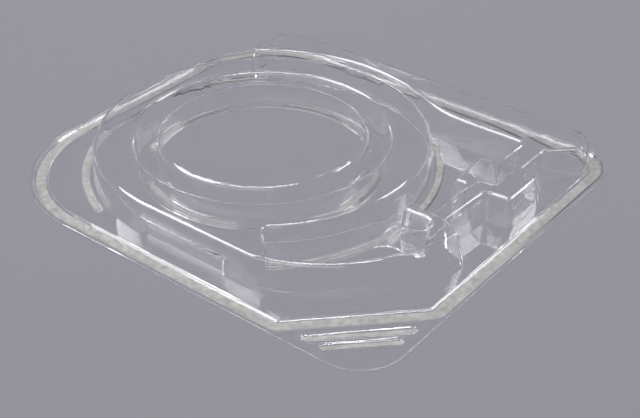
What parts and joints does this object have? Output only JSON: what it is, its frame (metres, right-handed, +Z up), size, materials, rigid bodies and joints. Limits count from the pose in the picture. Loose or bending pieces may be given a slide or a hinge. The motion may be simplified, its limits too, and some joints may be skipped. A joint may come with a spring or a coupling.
{
  "type": "blister tray",
  "caption": "Clear thermoformed blister tray with a ring channel, a round centre pocket, linked side pockets, a flat seal band and a ribbed peel corner.",
  "frame": {"origin": "centre of the bounding box's base, at the level of the seal face that the tray lies on", "axes": "+X along the 260 mm side towards the box pocket and the peel corner, +Y towards the long back pocket, +Z up out of the pockets' closed tops"},
  "size_m": [0.2606, 0.2294, 0.0195],
  "materials": {
    "clear_sheet": "clear glossy sheet, frosted where the seal band, grip ribs and arc feet are pressed flat"
  },
  "bodies": {
    "root": {"blister_tray": "clear_sheet"}
  },
  "joints": []
}
